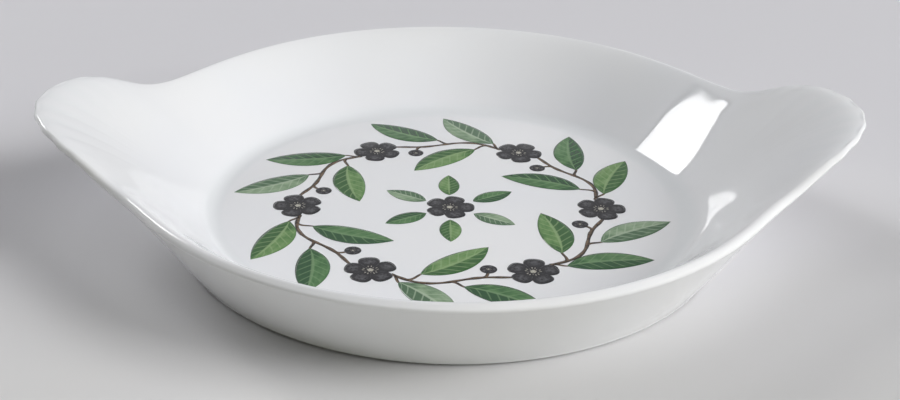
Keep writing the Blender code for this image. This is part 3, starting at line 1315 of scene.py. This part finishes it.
    def build_leaf(
        self, node: str, size: Place, shade: LeafShade, spot: Point, turn: float, tone: float = 0.0
    ) -> None:
        """Prints one leaf.

        Args:
            node: The solid it stands for.
            size: Its length, width and bow.
            shade: Its greens.
            spot: Where its stalk is.
            turn: Which way it points.
            tone: How light it is printed.
        """
        rows = self.leaf_rows(*size)
        film = self.film(Level.LEAF).build(f"printed_{node}", [rows], self.leaf_inks[shade], tone)
        self.lay(film, node, spot, turn)

    def build_sprig(self, number: int, shades: Sequence[LeafShade]) -> None:
        """Prints one sprig: a blossom, the stem to the next one, its leaves and its bud.

        Args:
            number: Which sprig, from 1.
            shades: Greens of its two outer leaves and its inner leaf.
        """
        start = (number - 1) * self.pitch
        blossom = (self.blossom_radius, self.petal_notch)
        self.build_blossom(f"blossom_{number}", blossom, polar(self.ring, start), start)

        film = self.film(Level.STEM).build(f"printed_stem_{number}", self.stem_patches(), self.stem_ink)
        self.lay(film, f"stem_{number}", (0.0, 0.0), start)

        tone = self.tone_range * math.sin(self.tone_step * number)
        size = (self.leaf_length, self.leaf_width, self.leaf_bow)
        for shade, (letter, share) in zip(shades, self.outer_leaf_shares.items()):
            spot, turn = self.outer_leaf_place(share)
            name = f"outer_leaf_{number}_{letter}"
            self.build_leaf(name, size, shade, turned(spot, start), turn + start, tone)
        spot, turn = self.inner_leaf_place()
        size = (self.leaf_length, self.leaf_width, -self.leaf_bow)
        self.build_leaf(f"inner_leaf_{number}", size, shades[-1], turned(spot, start), turn + start, -tone)

        spot, turn = self.bud_place()
        self.build_blossom(f"bud_{number}", (self.bud_radius, 0.0), turned(spot, start), turn + start)

    def build_rosette(self) -> None:
        """Prints the blossom in the middle of the floor, with short leaves round it."""
        self.build_blossom("centre_blossom", (self.blossom_radius, self.petal_notch), (0.0, 0.0), 0.0)
        size = (self.centre_leaf_length, self.centre_leaf_width, 0.0)
        shades = list(LeafShade)
        for i in range(self.sprig_count):
            angle = self.pitch * (i + 0.5)
            spot = polar(self.blossom_radius + 2 * self.clearance, angle)
            self.build_leaf(f"centre_leaf_{i + 1}", size, shades[i % len(shades)], spot, angle)

    def build(self) -> None:
        """Prints the whole garland."""
        deep, fresh, sage = LeafShade
        orders = ((deep, sage, fresh), (fresh, deep, deep), (sage, deep, fresh))
        for number in range(1, self.sprig_count + 1):
            self.build_sprig(number, orders[number % len(orders)])
        self.build_rosette()


@dataclass(frozen=True)
class Softbox:
    """A rectangular studio lamp that looks at the dish.

    The glaze doesn't mirror the lamp itself. Where radii of corners are given, it mirrors a glowing pane of
    the lamp's size with those corners, in a faint frame.
    """

    name: str
    azimuth: float
    elevation: float
    distance: float
    width: float
    height: float
    power: float
    colour: Colour = (1.0, 1.0, 1.0)
    roll: float = 0.0
    corners: tuple[float, ...] = ()
    pane_glow: float = 10.8
    frame_width: float = 0.055
    frame_setback: float = 0.055
    frame_glow: float = 0.1
    corner_steps: int = 12

    def card_outline(self, margin: float) -> list[Point]:
        """Outline of a card with rounded corners that reaches past the lamp's edges.

        Args:
            margin: How far past the edges.

        Returns:
            The points, anticlockwise from the right-hand side.
        """
        points = []
        for i, radius in enumerate(self.corners):
            start = i * math.pi / 2
            side, end = (math.copysign(1.0, number) for number in polar(1.0, start + math.pi / 4))
            centre = (side * (self.width / 2 - radius), end * (self.height / 2 - radius))
            turns = spaced(start, start + math.pi / 2, self.corner_steps)
            points += [along(centre, turn, radius + margin) for turn in turns]
        return points

    def build_card(
        self, name: str, box: bpy.types.Object, margin: float, setback: float, glow: float
    ) -> bpy.types.Object:
        """Hangs a glowing card at the lamp, which shows only where the glaze mirrors it.

        Args:
            name: The card's name.
            box: The lamp.
            margin: How far the card reaches past the lamp's edges.
            setback: How much farther away it hangs, as a share of the lamp's distance.
            glow: How bright it is.

        Returns:
            The card.
        """
        shape = bmesh.new()
        shape.faces.new([shape.verts.new((*point, 0.0)) for point in self.card_outline(margin)])
        material, board = new_board(name)
        dark = (0.0, 0.0, 0.0)
        inputs = {"Emission Color": self.colour, "Emission Strength": glow, "Specular IOR Level": 0.0}
        board.surface({"Base Color": dark, **inputs})
        card = new_piece(name, shape, material)
        card.location = box.location * (1 + setback)
        card.rotation_euler = box.rotation_euler
        for ray in ("camera", "diffuse", "transmission", "shadow"):
            setattr(card, f"visible_{ray}", False)
        return card

    def build(self) -> bpy.types.Object:
        """Hangs the lamp.

        Returns:
            The lamp.
        """
        lamp = bpy.data.lights.new(self.name, "AREA")
        lamp.shape = "RECTANGLE"
        lamp.size, lamp.size_y = self.width, self.height
        lamp.energy = self.power
        lamp.color = self.colour
        box = bpy.data.objects.new(self.name, lamp)
        box.location = spherical(self.distance, self.azimuth, self.elevation)
        box.visible_glossy = False
        look_at(box, (0.0, 0.0, 0.0), self.roll)
        if self.corners:
            frame = (self.frame_width, self.frame_setback, self.frame_glow)
            self.build_card(f"{self.name}_pane", box, 0.0, 0.0, self.pane_glow)
            self.build_card(f"{self.name}_frame", box, *frame)
        LOG.info("lamp %s hung", self.name)
        return box


@dataclass(frozen=True)
class ViewPoint:
    """The camera, at the photograph's angle."""

    distance: float = 0.4313
    elevation: float = math.radians(27.345)
    azimuth: float = math.radians(-1.455)
    roll: float = math.radians(1.26)
    lens: float = 66.53
    aim: Place = (0.0001, 0.0028, 0.0055)
    clip_start: float = 0.01

    def build(self) -> bpy.types.Object:
        """Sets the scene's camera.

        Returns:
            The camera.
        """
        camera = bpy.data.objects.new("camera", bpy.data.cameras.new("camera"))
        camera.data.lens = self.lens
        camera.data.clip_start = self.clip_start
        camera.location = spherical(self.distance, self.azimuth - math.pi / 2, self.elevation)
        look_at(camera, self.aim, self.roll)
        bpy.context.scene.camera = camera
        return camera


@dataclass(frozen=True)
class PaleWall:
    """A pale part of the backdrop, which shows where the glaze mirrors it."""

    azimuth: float
    elevation: float
    colour: Colour
    reach: float
    core: float

    def share(self, board: NodeBoard) -> Value:
        """How much of the wall shows in each direction.

        Args:
            board: The nodes of the world.

        Returns:
            A mask: 0 farther from the wall's middle than its reach, 1 within its core.
        """
        direction = board.node("ShaderNodeTexCoord").outputs["Generated"]
        middle = spherical(1.0, self.azimuth, self.elevation)
        toward = board.node("ShaderNodeVectorMath", {"operation": "DOT_PRODUCT"}, {0: direction, 1: middle})
        return Value(board, toward.outputs["Value"]).rising(math.cos(self.reach), math.cos(self.core))


@dataclass(frozen=True)
class Studio:
    """The table, the lamps and the soft light all round."""

    table_size: float = 8.0
    table_segments: int = 8
    fill: Colour = (0.030, 0.030, 0.030)
    backdrop: Colour = (0.430, 0.430, 0.442)
    walls: tuple[PaleWall, ...] = (
        PaleWall(
            azimuth=math.radians(180),
            elevation=math.radians(45),
            colour=(1.400, 1.400, 1.430),
            reach=math.radians(60),
            core=math.radians(18),
        ),
        PaleWall(
            azimuth=math.radians(-112),
            elevation=math.radians(50),
            colour=(1.800, 1.800, 1.830),
            reach=math.radians(46),
            core=math.radians(22),
        ),
    )
    lamps: tuple[Softbox, ...] = (
        Softbox("key", math.radians(-17), math.radians(31.5), 2.4, 1.28, 1.12, 59.0),
        Softbox("front", math.radians(-75), math.radians(4), 2.6, 3.2, 0.32, 7.2, (1.0, 1.0, 0.70)),
        Softbox("back", math.radians(137), math.radians(17), 3.2, 1.6, 1.0, 29.6),
        Softbox("top", math.radians(180), math.radians(62), 1.6, 0.8, 0.8, 3.0, (0.95, 0.96, 1.0)),
        Softbox(
            name="window",
            azimuth=math.radians(137.1),
            elevation=math.radians(33.4),
            distance=1.6,
            width=0.360,
            height=0.638,
            power=6.6,
            roll=math.radians(-29.1),
            corners=(0.028, 0.059, 0.165, 0.023),
        ),
    )

    def build_table(self) -> bpy.types.Object:
        """Lays the table.

        Returns:
            The table.
        """
        shape = bmesh.new()
        count = self.table_segments
        bmesh.ops.create_grid(shape, x_segments=count, y_segments=count, size=self.table_size / 2)
        table = new_piece("table", shape, TableTop().material())
        return table

    def build_fill(self) -> bpy.types.World:
        """Lights the scene faintly from all round, inside a backdrop with pale walls that the glaze mirrors.

        Returns:
            The world.
        """
        world = bpy.data.worlds.new("soft_fill")
        world.use_nodes = True
        board = NodeBoard(world.node_tree)
        ray = board.node("ShaderNodeLightPath").outputs
        seen = Value(board, ray["Is Camera Ray"]) + Value(board, ray["Is Glossy Ray"])
        backdrop = self.backdrop
        for wall in self.walls:
            backdrop = board.mix(wall.share(board), backdrop, wall.colour)
        colour = board.mix(seen, self.fill, backdrop)
        glow = board.node("ShaderNodeBackground", {}, {"Color": colour})
        board.node("ShaderNodeOutputWorld", {}, {"Surface": glow.outputs[0]})
        bpy.context.scene.world = world
        return world

    def build(self) -> None:
        """Sets up the studio."""
        self.build_table()
        self.build_fill()
        for lamp in self.lamps:
            lamp.build()
        bpy.context.scene.view_settings.view_transform = "Standard"


def main() -> None:
    """Builds the dish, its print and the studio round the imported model."""
    logging.basicConfig(level=logging.INFO, format="%(message)s")
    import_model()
    ViewPoint().build()
    dish = PorcelainDish()
    dish.build()
    Garland(dish).build()
    Studio().build()


if __name__ == "__main__":
    main()
